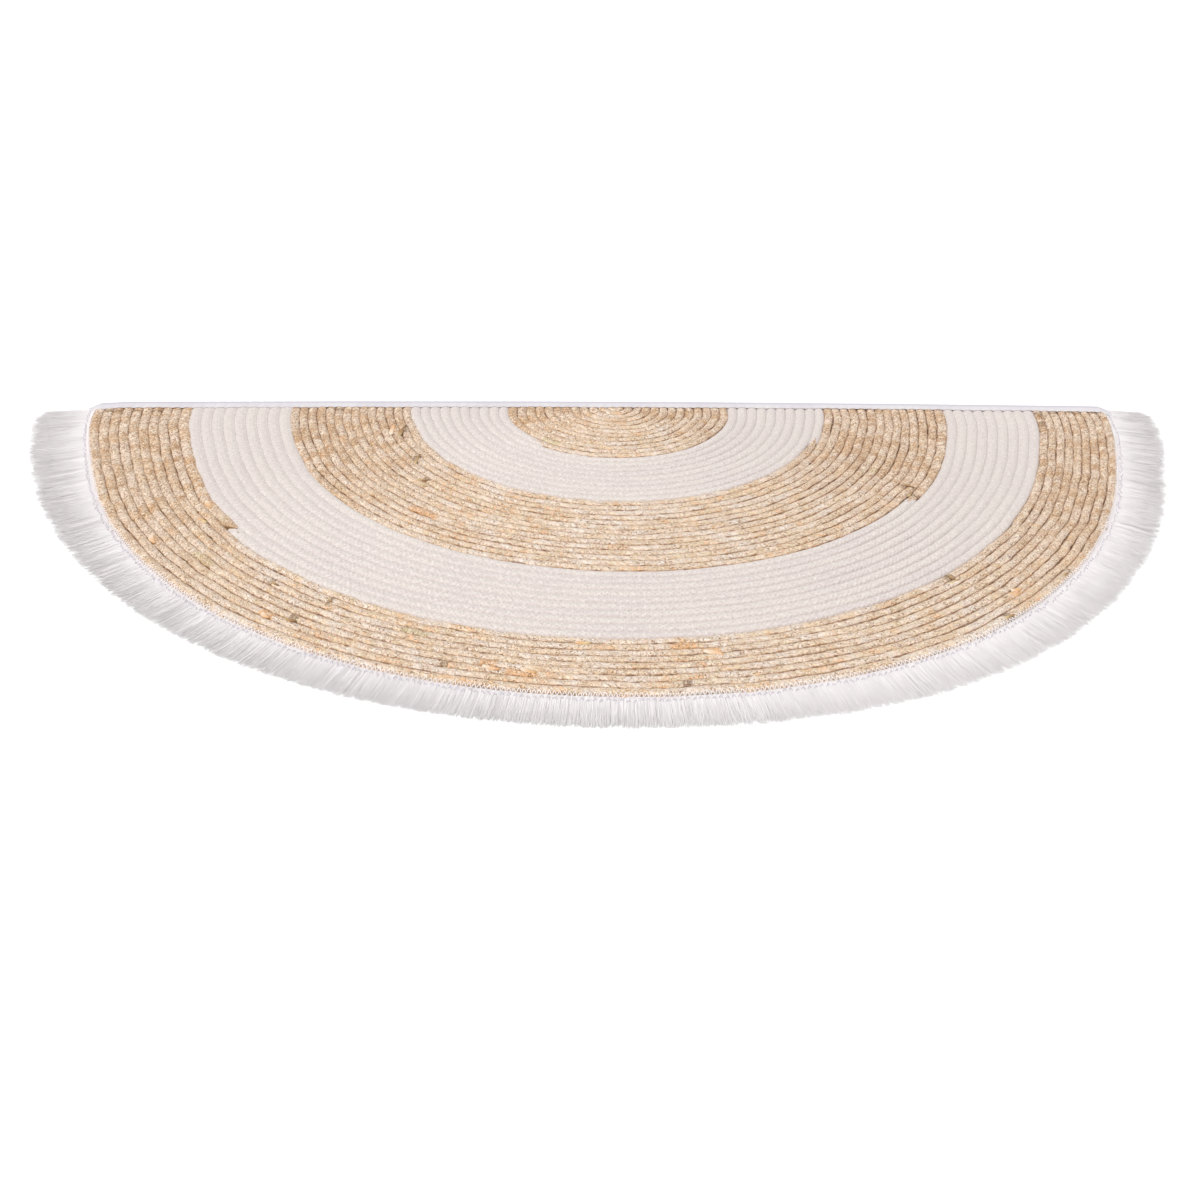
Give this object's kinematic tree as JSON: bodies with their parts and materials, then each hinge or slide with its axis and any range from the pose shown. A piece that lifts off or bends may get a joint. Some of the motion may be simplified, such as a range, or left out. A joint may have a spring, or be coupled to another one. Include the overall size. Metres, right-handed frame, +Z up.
{
  "type": "half-round natural fibre rug",
  "caption": "Half-round floor rug of coiled straw and cotton cord in alternating bands, with a bound straight edge and a white brush fringe round the curve.",
  "frame": {"origin": "centre of the bounding box on the underside, where the rug meets the floor", "axes": "+X along the straight edge to the right, +Y from the curved front to the straight edge, +Z up through the thickness"},
  "size_m": [1.2242, 0.5858, 0.0094],
  "materials": {
    "straw_cord": "twisted maize husk, dry and matt, cream to tan",
    "cotton_cord": "covered cotton cord, warm white, matt",
    "binding_tape": "woven white tape, matt",
    "fringe_yarn": "soft white cotton yarn, matt"
  },
  "bodies": {
    "root": {"straw_centre": "straw_cord", "cotton_inner": "cotton_cord", "straw_middle": "straw_cord", "cotton_outer": "cotton_cord", "straw_outer": "straw_cord", "edge_binding": "binding_tape", "fringe": "fringe_yarn"}
  },
  "joints": []
}
